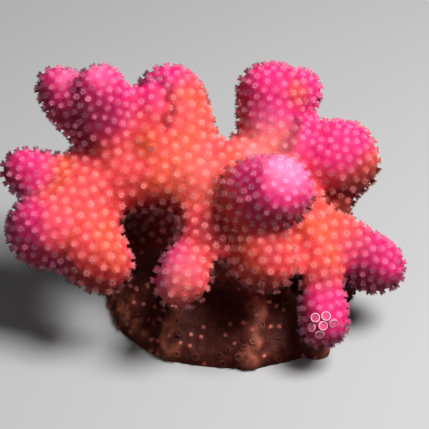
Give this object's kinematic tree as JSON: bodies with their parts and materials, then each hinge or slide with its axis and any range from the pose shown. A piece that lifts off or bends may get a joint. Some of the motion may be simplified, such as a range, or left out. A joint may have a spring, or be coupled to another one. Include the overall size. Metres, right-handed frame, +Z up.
{
  "type": "stylophora coral",
  "caption": "Small branching stony coral colony with thick blunt clubs and fingers on a spreading foot, cut off flat to stand on a surface.",
  "frame": {"origin": "middle of the flat cut face under the foot", "axes": "+Z up, away from the cut face. -Y is the front, the side with the large club that leans forwards. +X is to the right seen from the front, along the longest side"},
  "size_m": [0.0759, 0.0529, 0.0481],
  "materials": {
    "foot": "matt brown tissue over a pitted skeleton",
    "stem": "matt orange pink tissue with pale polyps",
    "tip": "slightly wet magenta tissue with pale polyps"
  },
  "bodies": {
    "root": {"foot": "foot", "trunk": "stem", "left_arm": "stem", "left_lobe": "tip", "left_tip": "tip", "left_drop_lobe": "tip", "upper_left_club": "tip", "upper_left_side_knob": "tip", "top_left_club": "tip", "top_left_front_knob": "tip", "top_right_club": "tip", "top_right_side_knob": "tip", "right_ball": "tip", "front_club": "tip", "front_under_knob": "tip", "centre_finger": "tip", "right_finger": "tip", "right_club": "tip", "right_under_knob": "stem", "right_low_knob": "stem", "left_low_knob": "stem", "back_left_club": "tip", "back_right_club": "tip", "back_middle_club": "tip", "back_low_left_club": "tip", "back_low_right_club": "tip", "back_left_side_club": "tip"}
  },
  "joints": []
}
